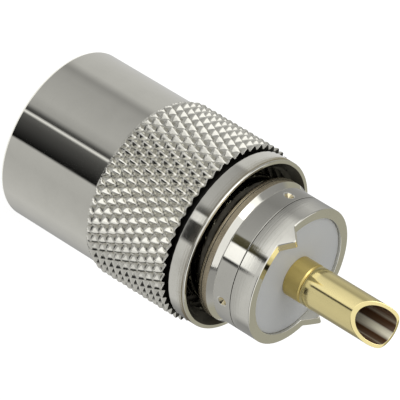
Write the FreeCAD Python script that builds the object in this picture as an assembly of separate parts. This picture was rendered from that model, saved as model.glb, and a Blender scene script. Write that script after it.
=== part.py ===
"""UHF coaxial cable plug: a hollow gold pin in a white insulator, carried by a
nickel-plated plug body, with a loose knurled coupling nut around it.

The part stands on its rear end at z = 0 with the pin up, its axis on Z.
Angles around the axis are given as phi: phi = 0 faces -Y, phi = 90 faces +X.
All lengths are in millimetres. The nut is drawn pulled back, level with the
rear end of the body. Its coupling thread is drawn as a plain bore on the
thread's crests.
"""
import math
import os

import FreeCAD, Part

os.makedirs("parts", exist_ok=True)
V = FreeCAD.Vector

# Driving dimensions: coupling thread, 5/8-24, which the widths of body and nut follow
THREAD_MAJOR_D = 15.88
THREAD_DEPTH = 0.54        # groove to crest
THREAD_LENGTH = 9.5
MOUTH_CHAMFER = 0.41       # countersink beyond the thread's groove

# Driving dimensions: plug body
BODY_LENGTH = 29.1         # rear face to the rim of the barrel
TUBE_GAP = 0.9             # rear tube, which the cable goes into, to the thread's crests
TUBE_WALL = 1.15
SEAT_WALL = 0.55           # outside of the tube to the insulator's seat
WEB_THICKNESS = 2.5        # inner web behind the insulator's disc
WEB_RISE = 1.35            # web above the cable's bore
BARREL_WALL = 0.98
BARREL_LENGTH = 4.24
BARREL_LINE_FROM_RIM = 2.25  # fine turned line around the barrel
SHOULDER_LENGTH = 0.64     # sloping shoulder between flange and barrel
SHOULDER_STEP = 0.15       # the shoulder starts this far below the barrel
FLANGE_RISE = 0.27         # flange above the barrel
FLANGE_THICKNESS = 0.97
FLANGE_LINE_FROM_REAR = 0.39  # fine turned line around the flange
LINE_DEPTH = 0.08          # depth of the fine turned lines
EDGE_BREAK = 0.12          # broken sharp edges
ENTRY_CHAMFER = 0.35       # at the rear openings
SOLDER_HOLE_D = 2.6
SOLDER_HOLE_FROM_FLANGE = 6.85
SOLDER_HOLES = 4
SOLDER_HOLE_PHI = 45.0
TOOTH_PHI = -22.0          # first keying tooth on the rim
TOOTH_COUNT = 2
TOOTH_WIDTH = 2.44         # at the rim
TOOTH_HEIGHT = 1.13
TOOTH_TIP_WIDTH = 0.16
STAKE_PHIS = (-57.4, 52.4, 177.5)  # punch marks that hold the insulator
STAKE_FROM_RIM = 3.2
STAKE_D = 1.0
STAKE_DEPTH = 0.34
STAKE_OVERRUN = 0.1        # the punch's cone ends this far outside the barrel

# Driving dimensions: insulator
INSULATOR_RECESS = 0.26    # front face below the rim
INSULATOR_THICKNESS = 7.34

# Driving dimensions: centre contact
PIN_D = 3.96
PIN_WALL = 0.36
PIN_REACH = 10.22          # rim to the square end of the pin
PIN_CUT_ANGLE = 45.0       # slope of the oblique cut, low on the phi = 0 side
PIN_CUT_SETBACK = 0.9      # the slope crosses the axis this far below the end
PIN_FOOT_LENGTH = 1.71     # insulator to the shallow groove
PIN_GROOVE_WIDTH = 0.30
PIN_GROOVE_DEPTH = 0.14
SHANK_STEP = 0.23          # shoulder by which the pin stands on the insulator's face
SHANK_WALL = 0.40          # of the shank behind it, which runs through the insulator

# Driving dimensions: coupling nut
NUT_LENGTH = 22.85
SKIRT_COVER = 0.72         # outside of the smooth rear part to the thread's groove
SKIRT_WALL = 1.06
SKIRT_EDGE = 0.2           # broken rear edge
SKIRT_DEPTH = 7.0          # rear face to the inner lip
LIP_LENGTH = 2.5           # inner lip that rides on the tube
LIP_CLEARANCE = 0.07       # radial running clearance on the tube
COLLAR_RISE = 0.03         # plain collar around the mouth, above the skirt
COLLAR_LENGTH = 1.85
RELIEF_WIDTH = 0.50        # relief groove behind the collar
RELIEF_DEPTH = 0.39
KNURL_RISE = 0.46          # knurl's points above the skirt
KNURL_LENGTH = 9.65
KNURL_DEPTH = 0.67
KNURL_COUNT = 52           # diamonds around the nut
KNURL_PITCH = 1.92         # length of one diamond along the axis
KNURL_PHI = -28.0          # one diamond's point lies here
KNURL_FIRST_ROW = 0.10     # last ring of points below the band's front end
KNURL_CHAMFER_DEPTH = 0.55
KNURL_CHAMFER_LENGTH = 0.72

# Stations and radii that follow
MAJOR_R = THREAD_MAJOR_D / 2
MINOR_R = MAJOR_R - THREAD_DEPTH
TUBE_R = MINOR_R - TUBE_GAP
CABLE_R = TUBE_R - TUBE_WALL
BOSS_R = CABLE_R - WEB_RISE
SEAT_R = TUBE_R - SEAT_WALL
BARREL_R = SEAT_R + BARREL_WALL
FLANGE_R = BARREL_R + FLANGE_RISE
SKIRT_R = MAJOR_R + SKIRT_COVER
COLLAR_R = SKIRT_R + COLLAR_RISE
CREST_R = SKIRT_R + KNURL_RISE
PIN_R = PIN_D / 2
SHANK_R = PIN_R - SHANK_STEP
RIM_Z = BODY_LENGTH
BARREL_REAR_Z = RIM_Z - BARREL_LENGTH
FLANGE_FRONT_Z = BARREL_REAR_Z - SHOULDER_LENGTH
FLANGE_REAR_Z = FLANGE_FRONT_Z - FLANGE_THICKNESS
INSULATOR_FACE_Z = RIM_Z - INSULATOR_RECESS
SEAT_Z = INSULATOR_FACE_Z - INSULATOR_THICKNESS
CABLE_END_Z = SEAT_Z - WEB_THICKNESS
MESH_TOLERANCE = 1e-4      # joins the knurl's facets


def turned(profile):
    """Solid of revolution about Z from a closed list of (radius, z) points."""
    pts = [V(r, 0, z) for r, z in profile]
    face = Part.Face(Part.makePolygon(pts + [pts[0]]))
    return face.revolve(V(0, 0, 0), V(0, 0, 1), 360)


def around(r, phi, z):
    """Point at radius r, angle phi and height z."""
    a = math.radians(phi)
    return V(r * math.sin(a), -r * math.cos(a), z)


def line(radius, z):
    """Profile points of a fine V line, turned into a cylinder at height z."""
    return [(radius, z - LINE_DEPTH), (radius - LINE_DEPTH, z), (radius, z + LINE_DEPTH)]


def centre_contact():
    """Hollow pin that stands on the insulator by a shoulder. Its shank runs through
    to the cable, and an oblique cut opens one side of its tip."""
    foot_z = INSULATOR_FACE_Z + PIN_FOOT_LENGTH
    tip_z = RIM_Z + PIN_REACH
    bore_r, shank_bore_r = PIN_R - PIN_WALL, SHANK_R - SHANK_WALL
    bore_end_z = INSULATOR_FACE_Z + PIN_WALL
    pin = turned([
        (shank_bore_r, CABLE_END_Z), (SHANK_R, CABLE_END_Z), (SHANK_R, INSULATOR_FACE_Z),
        (PIN_R, INSULATOR_FACE_Z), (PIN_R, foot_z),
        (PIN_R - PIN_GROOVE_DEPTH, foot_z + PIN_GROOVE_WIDTH / 2),
        (PIN_R, foot_z + PIN_GROOVE_WIDTH), (PIN_R, tip_z), (bore_r, tip_z),
        (bore_r, bore_end_z), (shank_bore_r, bore_end_z)])
    # everything above the slope, which is low at phi = 0 and meets the end beyond the axis
    rise = PIN_D * math.tan(math.radians(PIN_CUT_ANGLE))
    middle_z = tip_z - PIN_CUT_SETBACK
    side = [V(-PIN_D, -PIN_D, middle_z - rise), V(-PIN_D, PIN_D, middle_z + rise),
            V(-PIN_D, -PIN_D, middle_z + rise)]
    above = Part.Face(Part.makePolygon(side + [side[0]])).extrude(V(2 * PIN_D, 0, 0))
    return pin.cut(above)


def insulator():
    """Disc in the barrel with a boss through the body's web, around the pin's shank."""
    return turned([
        (SHANK_R, CABLE_END_Z), (BOSS_R, CABLE_END_Z), (BOSS_R, SEAT_Z),
        (SEAT_R, SEAT_Z), (SEAT_R, INSULATOR_FACE_Z), (SHANK_R, INSULATOR_FACE_Z)])


def tooth(phi):
    """Pointed tooth on the rim, as thick as the barrel's wall."""
    out, side = around(1, phi, 0), around(1, phi + 90, 0)
    root_z = RIM_Z - EDGE_BREAK
    half = TOOTH_WIDTH / 2 + EDGE_BREAK
    tip = TOOTH_TIP_WIDTH / 2
    corners = [side * -half + V(0, 0, root_z), side * half + V(0, 0, root_z),
               side * tip + V(0, 0, RIM_Z + TOOTH_HEIGHT), side * -tip + V(0, 0, RIM_Z + TOOTH_HEIGHT)]
    corners = [p + out * (SEAT_R / 2) for p in corners]
    prism = Part.Face(Part.makePolygon(corners + [corners[0]])).extrude(out * BARREL_R)
    top_z = RIM_Z + 2 * TOOTH_HEIGHT
    wall = turned([(SEAT_R, root_z), (BARREL_R, root_z), (BARREL_R, top_z), (SEAT_R, top_z)])
    return prism.common(wall)


def plug_body():
    """Rear tube, flange, sloping shoulder and barrel, turned in one piece."""
    body = turned([
        (CABLE_R + ENTRY_CHAMFER, 0), (TUBE_R - EDGE_BREAK, 0), (TUBE_R, EDGE_BREAK),
        (TUBE_R, FLANGE_REAR_Z), (FLANGE_R - EDGE_BREAK, FLANGE_REAR_Z),
        (FLANGE_R, FLANGE_REAR_Z + EDGE_BREAK)]
        + line(FLANGE_R, FLANGE_REAR_Z + FLANGE_LINE_FROM_REAR)
        + [(FLANGE_R, FLANGE_FRONT_Z), (BARREL_R - SHOULDER_STEP, BARREL_REAR_Z - EDGE_BREAK),
           (BARREL_R - SHOULDER_STEP, BARREL_REAR_Z), (BARREL_R, BARREL_REAR_Z)]
        + line(BARREL_R, RIM_Z - BARREL_LINE_FROM_RIM)
        + [(BARREL_R, RIM_Z - EDGE_BREAK), (BARREL_R - EDGE_BREAK, RIM_Z), (SEAT_R, RIM_Z),
           (SEAT_R, SEAT_Z), (BOSS_R, SEAT_Z), (BOSS_R, CABLE_END_Z), (CABLE_R, CABLE_END_Z),
           (CABLE_R, ENTRY_CHAMFER)])
    for i in range(TOOTH_COUNT):
        body = body.fuse(tooth(TOOTH_PHI + i * 360.0 / TOOTH_COUNT))
    hole_z = FLANGE_REAR_Z - SOLDER_HOLE_FROM_FLANGE
    for i in range(SOLDER_HOLES):
        phi = SOLDER_HOLE_PHI + i * 360.0 / SOLDER_HOLES
        body = body.cut(Part.makeCylinder(SOLDER_HOLE_D / 2, TUBE_R, around(CABLE_R / 2, phi, hole_z),
                                          around(1, phi, 0)))
    for phi in STAKE_PHIS:
        over = (STAKE_DEPTH + STAKE_OVERRUN) / STAKE_DEPTH
        body = body.cut(Part.makeCone(0, over * STAKE_D / 2, over * STAKE_DEPTH,
                                      around(BARREL_R - STAKE_DEPTH, phi, RIM_Z - STAKE_FROM_RIM),
                                      around(1, phi, 0)))
    return body


def knurl_points(rear_z, front_z):
    """Closed solid whose outside is a diamond knurl.

    Rings of four-sided points stand half a diamond apart along the axis. Every
    second ring is turned by half a division, so the valleys between the points
    run as two crossing sets of helices.
    """
    root_r = CREST_R - KNURL_DEPTH
    half = KNURL_PITCH / 2
    first_z = front_z - KNURL_FIRST_ROW
    low = int(math.floor((rear_z - first_z) / half)) - 1
    high = int(math.ceil((front_z - first_z) / half)) + 1
    points, index, triangles = [], {}, []

    def vertex(ring, k):
        """Lattice corner k of a ring: a point where ring + k is even, else a valley."""
        k %= 2 * KNURL_COUNT
        if (ring, k) not in index:
            index[(ring, k)] = len(points)
            r = CREST_R if (ring + k) % 2 == 0 else root_r
            points.append(tuple(around(r, KNURL_PHI + k * 180.0 / KNURL_COUNT, first_z + ring * half)))
        return index[(ring, k)]

    axis_low, axis_high = 0, 1
    points += [(0.0, 0.0, first_z + (low - 3) * half), (0.0, 0.0, first_z + (high + 3) * half)]
    for ring in range(low, high + 1):
        for k in range(ring % 2, 2 * KNURL_COUNT, 2):
            top = vertex(ring, k)
            right, left = vertex(ring, k + 1), vertex(ring, k - 1)
            front, back = vertex(ring + 1, k), vertex(ring - 1, k)
            triangles += [(top, right, front), (top, front, left), (top, left, back), (top, back, right)]
            if ring == low:
                triangles += [(axis_low, right, back), (axis_low, back, left)]
            if ring == high:
                triangles += [(axis_high, front, right), (axis_high, left, front)]
    shell = Part.Shape()
    shell.makeShapeFromMesh((points, triangles), MESH_TOLERANCE)
    solid = Part.makeSolid(shell)
    if solid.Volume < 0:
        solid.reverse()
    return solid


def coupling_nut():
    """Smooth skirt, diamond-knurled band, relief groove and plain collar."""
    bore_r = SKIRT_R - SKIRT_WALL
    lip_r = TUBE_R + LIP_CLEARANCE
    relief_r = COLLAR_R - RELIEF_DEPTH
    mouth_r = MAJOR_R + MOUTH_CHAMFER
    lip_front_z = SKIRT_DEPTH + LIP_LENGTH
    collar_rear_z = NUT_LENGTH - COLLAR_LENGTH
    front_z = collar_rear_z - RELIEF_WIDTH
    rear_z = front_z - KNURL_LENGTH
    thread_rear_z = NUT_LENGTH - THREAD_LENGTH
    core = turned([
        (bore_r + ENTRY_CHAMFER, 0), (SKIRT_R - SKIRT_EDGE, 0), (SKIRT_R, SKIRT_EDGE),
        (SKIRT_R, rear_z), (relief_r, rear_z), (relief_r, collar_rear_z),
        (COLLAR_R, collar_rear_z), (COLLAR_R, NUT_LENGTH - EDGE_BREAK),
        (COLLAR_R - EDGE_BREAK, NUT_LENGTH), (mouth_r, NUT_LENGTH),
        (MINOR_R, NUT_LENGTH - (mouth_r - MINOR_R)), (MINOR_R, thread_rear_z),
        (MAJOR_R, thread_rear_z - THREAD_DEPTH), (MAJOR_R, lip_front_z),
        (lip_r, lip_front_z), (lip_r, SKIRT_DEPTH), (bore_r, SKIRT_DEPTH), (bore_r, ENTRY_CHAMFER)])
    outside_r = CREST_R + EDGE_BREAK
    inside_r = (MAJOR_R + relief_r) / 2
    band = turned([
        (inside_r, rear_z), (outside_r - KNURL_CHAMFER_DEPTH, rear_z),
        (outside_r, rear_z + KNURL_CHAMFER_LENGTH), (outside_r, front_z), (inside_r, front_z)])
    return core.fuse(knurl_points(rear_z, front_z).common(band))


for name, shape in (("centre_contact", centre_contact()), ("insulator", insulator()),
                    ("plug_body", plug_body()), ("coupling_nut", coupling_nut())):
    if not shape.isValid() or len(shape.Solids) != 1:
        raise RuntimeError("%s is not one valid solid" % name)
    shape.Solids[0].exportStep("parts/%s.step" % name)
    print(name, "faces", len(shape.Faces), "volume", round(shape.Volume, 2))
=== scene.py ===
"""Coaxial cable plug: fine surfaces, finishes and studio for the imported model.

The plug stands on its rear end at z = 0 with its axis on Z and the pin up.
Angles around the axis are given as phi: phi = 0 faces -Y, phi = 90 faces +X.
Stations and radii are written in millimetres and made metres in build_piece.
"""

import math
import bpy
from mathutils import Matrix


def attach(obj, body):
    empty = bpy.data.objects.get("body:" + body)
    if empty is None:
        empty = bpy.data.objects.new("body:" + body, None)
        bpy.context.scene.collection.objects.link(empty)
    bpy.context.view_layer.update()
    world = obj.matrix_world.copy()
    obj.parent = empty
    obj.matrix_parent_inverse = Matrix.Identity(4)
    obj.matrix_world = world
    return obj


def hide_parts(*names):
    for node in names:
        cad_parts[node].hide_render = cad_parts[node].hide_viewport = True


bl_info = {
    "name": "Coaxial Plug",
    "version": (1, 0, 0),
    "blender": (4, 5, 0),
    "location": "3D View > Sidebar > Coaxial Plug",
    "description": "Builds the surfaces, finishes and studio of a coaxial cable plug",
    "category": "Object",
}

import bpy
import numpy as np
from bpy.props import FloatProperty, FloatVectorProperty, IntProperty, PointerProperty
from mathutils import Matrix, Vector

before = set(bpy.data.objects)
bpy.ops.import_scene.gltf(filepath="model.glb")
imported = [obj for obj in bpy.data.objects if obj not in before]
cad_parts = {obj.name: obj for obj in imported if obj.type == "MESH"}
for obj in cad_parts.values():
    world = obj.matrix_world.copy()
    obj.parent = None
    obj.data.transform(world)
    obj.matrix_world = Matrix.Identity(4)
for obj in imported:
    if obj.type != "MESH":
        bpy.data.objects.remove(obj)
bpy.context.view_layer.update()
MM = 0.001

# Radii of the plug body, insulator and pin, in millimetres
TUBE_R = 6.5
CABLE_R = 5.35
BOSS_R = 4.0
SEAT_R = 5.95
BARREL_R = 6.93
SHOULDER_R = 6.78
FLANGE_R = 7.2
PIN_R = 1.98
PIN_BORE_R = 1.62
SHANK_R = 1.75
SHANK_BORE_R = 1.35

# Stations of the plug body, insulator and pin, from the rear face
CABLE_END_Z = 19.0
SEAT_Z = 21.5
FLANGE_REAR_Z = 23.25
FLANGE_LINE_Z = 23.64
FLANGE_FRONT_Z = 24.22
BARREL_REAR_Z = 24.86
BARREL_LINE_Z = 26.85
FACE_Z = 28.84
RIM_Z = 29.1
GROOVE_Z = 30.55
GROOVE_WIDTH = 0.30
BORE_END_Z = 29.2
TIP_Z = 39.32
CUT_SETBACK = 0.9
TOOTH_PHIS = (-22.0, 158.0)
STAKE_PHIS = (-57.4, 52.4, 177.5)
STAKE_Z = 25.9
SOLDER_HOLE_Z = 16.4
SOLDER_HOLE_R = 1.3
SOLDER_HOLE_PHIS = (45.0, 135.0, 225.0, 315.0)

# Radii and stations of the coupling nut
SKIRT_R = 8.66
SKIRT_BORE_R = 7.6
LIP_R = 6.57
MAJOR_R = 7.94
MINOR_R = 7.4
MOUTH_R = 8.35
COLLAR_R = 8.69
RELIEF_R = 8.30
CREST_R = 9.12
LIP_REAR_Z = 7.0
LIP_FRONT_Z = 9.5
KNURL_REAR_Z = 10.85
KNURL_FIRST_Z = 20.40
KNURL_FRONT_Z = 20.50
COLLAR_REAR_Z = 21.0
NUT_FRONT_Z = 22.85
THREAD_REAR_Z = 13.35
KNURL_PHI = -28.0
KNURL_EASE = 0.02
KNURL_CHAMFER_DEPTH = 0.43
KNURL_CHAMFER_LENGTH = 0.72
ENTRY_CHAMFER = 0.35
EDGE_BREAK = 0.12

# Cards that the plating reflects, the floor, and the camera's frame
WALL_R = 170.0
WALL_TOP_Z = 170.0
BOARD_REACH = 160.0
BOARD_Z = 0.02
FLOOR_Z = -0.01
FLOOR_HALF = 3000.0
FLOOR_GLOW = 0.78
RIM_RIGHT, RIM_DOWN, RIM_AHEAD = 8.950, 6.969, 326.137
SENSOR_WIDTH = 36.0

# Angle over which edges stay sharp, and rooms left when rows and faces are picked by place
SHARP_ANGLE = math.radians(34)
SAME = 1e-6
SLIGHT = 0.02
NEAR = 0.1

# Numbers of a piece's materials, in the order in which its operator lists them
# Number 1 is painted shade inside the bores, with painted highlight streaks in the pin's bore.
# Number 2 is painted shade in the grooves.
PLATE, PAINTED_BORE, GROOVE_SHADE = 0, 1, 2
NUT_KNURL = 3
# Body number 3 is a brighter gold-tinted plate: worn plating in the punch marks, a painted highlight on the
# tooth's flanks.
# Body number 4 is a darker brownish plate that paints the shade on the flange.
BODY_WORN_AND_HIGHLIGHT, BODY_FLANGE_SHADE = 3, 4
PIN_FOOT = 2


class CouplingNutSizes(bpy.types.PropertyGroup):
    """Sizes of the coupling nut's knurl, thread and edges"""
    knurl_count: IntProperty(name="Diamonds", description="Diamonds around the nut", default=52, min=12,
                             max=90)
    knurl_pitch: FloatProperty(name="Diamond length", description="Length of one diamond along the axis",
                               default=0.00192, unit="LENGTH", precision=5)
    knurl_depth: FloatProperty(name="Knurl depth", description="Points to valleys", default=0.00044,
                               unit="LENGTH", precision=5)
    knurl_rounding: FloatProperty(name="Knurl rounding", default=0.34, min=0.01, max=1, subtype="FACTOR",
                                  description="Share of a point's height that is rounded")
    thread_pitch: FloatProperty(name="Thread pitch", description="Advance of the coupling thread per turn",
                                default=0.0010583, unit="LENGTH", precision=6)
    edge_radius: FloatProperty(name="Edge radius", description="Rounding of the turned outer edges",
                               default=0.00012, unit="LENGTH", precision=5)
    skirt_radius: FloatProperty(name="Rear edge radius", description="Rounding of the skirt's rear edge",
                                default=0.0003, unit="LENGTH", precision=5)


class PlugBodySizes(bpy.types.PropertyGroup):
    """Sizes of the plug body's teeth, lines and punch marks"""
    tooth_width: FloatProperty(name="Tooth width", description="Width of a keying tooth at the rim",
                               default=0.00244, unit="LENGTH", precision=5)
    tooth_tip: FloatProperty(name="Tooth tip", description="Width of a keying tooth's tip", default=0.00016,
                             unit="LENGTH", precision=5)
    tooth_height: FloatProperty(name="Tooth height", description="Height of the keying teeth over the rim",
                                default=0.00113, unit="LENGTH", precision=5)
    line_depth: FloatProperty(name="Line depth", description="Depth of the fine turned lines",
                              default=0.000045, unit="LENGTH", precision=5)
    stake_width: FloatProperty(name="Punch mark width", description="Width of the punch marks on the barrel",
                               default=0.001, unit="LENGTH", precision=5)
    stake_depth: FloatProperty(name="Punch mark depth", description="Depth of the punch marks on the barrel",
                               default=0.00034, unit="LENGTH", precision=5)


class ContactSizes(bpy.types.PropertyGroup):
    """Sizes of the centre contact's cut and groove"""
    cut_angle: FloatProperty(name="Cut angle", description="Slope of the oblique tip",
                             default=math.radians(45.0), subtype="ANGLE", unit="ROTATION")
    groove_depth: FloatProperty(name="Groove depth", description="Depth of the groove at the pin's foot",
                                default=0.00014, unit="LENGTH", precision=5)
    lip_radius: FloatProperty(name="Lip radius", description="Rounding of the cut edge", default=0.00005,
                              unit="LENGTH", precision=5)
    corner_round: FloatProperty(name="Corner round", default=0.0003, unit="LENGTH", precision=5,
                                description="Rounding between the cut and the square end")


class FinishSettings(bpy.types.PropertyGroup):
    """Colours and gloss of the finishes"""
    nickel: FloatVectorProperty(name="Nickel", description="Colour of the nickel plate", subtype="COLOR",
                                size=3, min=0, max=1, default=(0.77, 0.757, 0.69))
    # Near-black colour that paints the shade inside the nut and the body's bore.
    bore: FloatVectorProperty(name="Bore", description="Colour of the painted shade inside the nut",
                              subtype="COLOR", size=3, min=0, max=1, default=(0.07, 0.066, 0.058))
    gold: FloatVectorProperty(name="Gold", description="Colour of the gold plate", subtype="COLOR",
                              size=3, min=0, max=1, default=(0.87, 0.75, 0.37))
    plastic: FloatVectorProperty(name="Insulator", description="Colour of the insulator's plastic",
                                 subtype="COLOR", size=3, min=0, max=1, default=(0.44, 0.45, 0.455))
    nickel_roughness: FloatProperty(name="Nickel roughness", description="Roughness of the nickel plate",
                                    default=0.055, min=0, max=1, subtype="FACTOR")
    knurl_roughness: FloatProperty(name="Knurl roughness", default=0.15, min=0, max=1, subtype="FACTOR",
                                   description="Roughness of the knurled band's plate")
    gold_roughness: FloatProperty(name="Gold roughness", description="Roughness of the gold plate",
                                  default=0.10, min=0, max=1, subtype="FACTOR")
    line_strength: FloatProperty(name="Turning lines", description="Strength of the fine turning lines",
                                 default=0.05, min=0, max=1, subtype="FACTOR")


class StudioSettings(bpy.types.PropertyGroup):
    """Camera, floor and light"""
    lens: FloatProperty(name="Lens", description="Focal length of the camera", default=324.0, subtype="NONE")
    turn: FloatProperty(name="Turn", description="Angle of the plug's axis in the picture",
                        default=math.radians(31.27), subtype="ANGLE", unit="ROTATION")
    rise: FloatProperty(name="Rise", description="Height of the camera above the plug's side",
                        default=math.radians(28.81), subtype="ANGLE", unit="ROTATION")
    sky: FloatProperty(name="Sky", description="Strength of the world's light on matt surfaces", default=0.72,
                       min=0, max=2)
    lamp_power: FloatProperty(name="Lamp power", description="Power of the large soft lamp, in watts",
                              default=0.22, min=0)
    lamp_place: FloatVectorProperty(name="Lamp place", description="Middle of the lamp", size=3,
                                    default=(-0.18, -0.12, 0.25), subtype="XYZ", unit="LENGTH")
    lamp_size: FloatProperty(name="Lamp size", description="Side of the square lamp", default=0.16, min=0,
                             unit="LENGTH")
    floor: FloatVectorProperty(name="Floor", description="Colour of the floor", subtype="COLOR", size=3,
                               min=0, max=1, default=(0.80, 0.80, 0.80))


def rounded_outline(corners, radii, steps=5, hold=0.03):
    """Closed outline with rounded corners, as an array of (radius, height) rows.

    Each corner becomes an arc tangent to both of its sides: the arc's ends lie
    radius / tan(half the corner's angle) from the corner, its centre lies on
    the angle's bisector, and its points are found by turning from the first
    end's direction to the last one's. A point stands a little before and after
    each arc, so that the shading of the flat sides stays flat.
    """
    p = np.asarray(corners, float)
    radii = np.asarray(radii, float)
    to_last = np.roll(p, 1, axis=0) - p
    to_next = np.roll(p, -1, axis=0) - p
    last_len = np.linalg.norm(to_last, axis=1)
    next_len = np.linalg.norm(to_next, axis=1)
    a = to_last / last_len[:, None]
    b = to_next / next_len[:, None]
    half = np.arccos(np.clip((a * b).sum(1), -1, 1)) / 2
    reach = np.minimum(radii / np.tan(half), 0.42 * np.minimum(last_len, next_len))
    radius = reach * np.tan(half)
    bisector = a + b
    bisector /= np.maximum(np.linalg.norm(bisector, axis=1), 1e-12)[:, None]
    centre = p + bisector * (radius / np.sin(half))[:, None]
    first = p + a * reach[:, None] - centre
    last = p + b * reach[:, None] - centre
    sweep = np.pi - 2 * half
    t = np.linspace(0, 1, steps)
    w0 = np.sin((1 - t)[None, :] * sweep[:, None]) / np.maximum(np.sin(sweep), 1e-9)[:, None]
    w1 = np.sin(t[None, :] * sweep[:, None]) / np.maximum(np.sin(sweep), 1e-9)[:, None]
    arc = centre[:, None] + w0[..., None] * first[:, None] + w1[..., None] * last[:, None]
    before = p + a * np.minimum(reach + hold, 0.48 * last_len)[:, None]
    after = p + b * np.minimum(reach + hold, 0.48 * next_len)[:, None]
    rows = np.concatenate([before[:, None], arc, after[:, None]], axis=1).reshape(-1, 2)
    keep = np.linalg.norm(rows - np.roll(rows, 1, axis=0), axis=1) > SAME
    return rows[keep]


def denser(rows, low_z, high_z, radius, spacing):
    """The outline with extra rows on its straight side at that radius between two heights.

    The heights are evenly spaced between the two ends, and slot in where the
    side passes them.
    """
    after = np.roll(rows, -1, axis=0)
    on_side = (np.abs(rows[:, 0] - radius) < SAME) & (np.abs(after[:, 0] - radius) < SAME)
    lower, upper = np.minimum(rows[:, 1], after[:, 1]), np.maximum(rows[:, 1], after[:, 1])
    at = int(np.flatnonzero(on_side & (lower <= low_z) & (upper >= high_z))[0])
    extra_z = np.linspace(low_z, high_z, int(round((high_z - low_z) / spacing)) + 1)
    if after[at, 1] < rows[at, 1]:
        extra_z = extra_z[::-1]
    extra = np.stack([np.full_like(extra_z, radius), extra_z], axis=1)
    return np.concatenate([rows[:at + 1], extra, rows[at + 1:]])


def around(radius, phi, height):
    """Points at these radii, angles and heights: x = r sin(phi), y = -r cos(phi)."""
    a = np.radians(phi)
    x, y, z = np.broadcast_arrays(radius * np.sin(a), -radius * np.cos(a), height)
    return np.stack([x, y, z], axis=-1).reshape(-1, 3)


def strip_triangles(grid, close_rows=False, anti=None):
    """Two triangles for each cell of a grid of point numbers whose columns close on themselves.

    A cell is split from its first to its opposite corner, or along its other
    diagonal where anti is true.
    """
    below = grid if close_rows else grid[:-1]
    above = np.roll(grid, -1, axis=0) if close_rows else grid[1:]
    p00, p10 = below, above
    p01, p11 = np.roll(below, -1, axis=1), np.roll(above, -1, axis=1)
    if anti is None:
        anti = np.zeros(p00.shape, bool)
    first = np.where(anti[..., None], np.stack([p00, p01, p10], -1), np.stack([p00, p01, p11], -1))
    second = np.where(anti[..., None], np.stack([p01, p11, p10], -1), np.stack([p00, p11, p10], -1))
    return np.concatenate([first.reshape(-1, 3), second.reshape(-1, 3)])


def fan_triangles(coarse, fine):
    """Triangles between a ring of few points and one of a whole multiple of them, from coarse to fine.

    Each coarse point fans out to the fine points nearest to it, and one more
    triangle closes the gap to the next coarse point.
    """
    ratio = len(fine) // len(coarse)
    lower = coarse
    lower_next = np.roll(coarse, -1)
    upper = fine.reshape(-1, ratio)
    upper_next = np.roll(fine, -1).reshape(-1, ratio)
    near = ratio // 2
    own = np.where(np.arange(ratio)[None, :] < near, lower[:, None], lower_next[:, None])
    fan = np.stack([own, upper_next, upper], -1).reshape(-1, 3)
    bridge = np.stack([lower, lower_next, upper[:, near]], -1)
    return np.concatenate([fan, bridge])


def outward(points, triangles):
    """The triangles turned so that the volume they enclose counts as positive."""
    a, b, c = (points[triangles[:, i]] for i in range(3))
    volume = (a * np.cross(b, c)).sum() / 6
    return triangles if volume > 0 else triangles[:, ::-1]


def solder_hole_cutter():
    """Points and triangles of four closed cylinders across the tube's wall.

    Each cylinder's ring is the middle's direction times a radius from the axis,
    plus cos(a) times the sideways and sin(a) times the upward unit vector.
    """
    sides, inward, past = 48, 0.8, 0.6
    a = np.linspace(0, math.tau, sides, endpoint=False)
    grid = np.arange(2 * sides).reshape(2, sides)
    lids = [np.stack([np.full(sides, 2 * sides), grid[0], np.roll(grid[0], 1)], -1),
            np.stack([np.full(sides, 2 * sides + 1), np.roll(grid[1], 1), grid[1]], -1)]
    triangles = np.concatenate([strip_triangles(grid)[:, ::-1]] + lids)
    blocks, faces = [], []
    for number, phi in enumerate(SOLDER_HOLE_PHIS):
        turn = math.radians(phi)
        out = np.array([math.sin(turn), -math.cos(turn), 0])
        side = np.array([math.cos(turn), math.sin(turn), 0])
        ring = SOLDER_HOLE_R * (np.cos(a)[:, None] * side + np.sin(a)[:, None] * np.array([0, 0, 1]))
        middle = np.array([0, 0, SOLDER_HOLE_Z])
        inner, outer = middle + out * (CABLE_R - inward), middle + out * (TUBE_R + past)
        blocks += [inner + ring, outer + ring, inner[None, :], outer[None, :]]
        faces.append(triangles + number * (2 * sides + 2))
    return np.concatenate(blocks), np.concatenate(faces)


def cut_out(piece, points, triangles):
    """Takes the closed shape out of the piece's mesh and removes the cutting object again."""
    triangles = outward(points, triangles)
    shape = bpy.data.meshes.new("cutter")
    shape.from_pydata(points * MM, [], triangles.tolist())
    cutter = bpy.data.objects.new("cutter", shape)
    bpy.context.scene.collection.objects.link(cutter)
    cut = piece.modifiers.new("Cut", "BOOLEAN")
    cut.operation = "DIFFERENCE"
    cut.solver = "EXACT"
    cut.object = cutter
    bpy.context.view_layer.update()
    drilled = bpy.data.meshes.new_from_object(piece.evaluated_get(bpy.context.evaluated_depsgraph_get()))
    if len(drilled.polygons) <= len(piece.data.polygons):
        raise RuntimeError("%s wasn't cut" % piece.name)
    piece.modifiers.remove(cut)
    whole = piece.data
    name = whole.name
    piece.data = drilled
    bpy.data.objects.remove(cutter)
    bpy.data.meshes.remove(shape)
    bpy.data.meshes.remove(whole)
    drilled.name = name
    drilled.set_sharp_from_angle(angle=SHARP_ANGLE)


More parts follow.
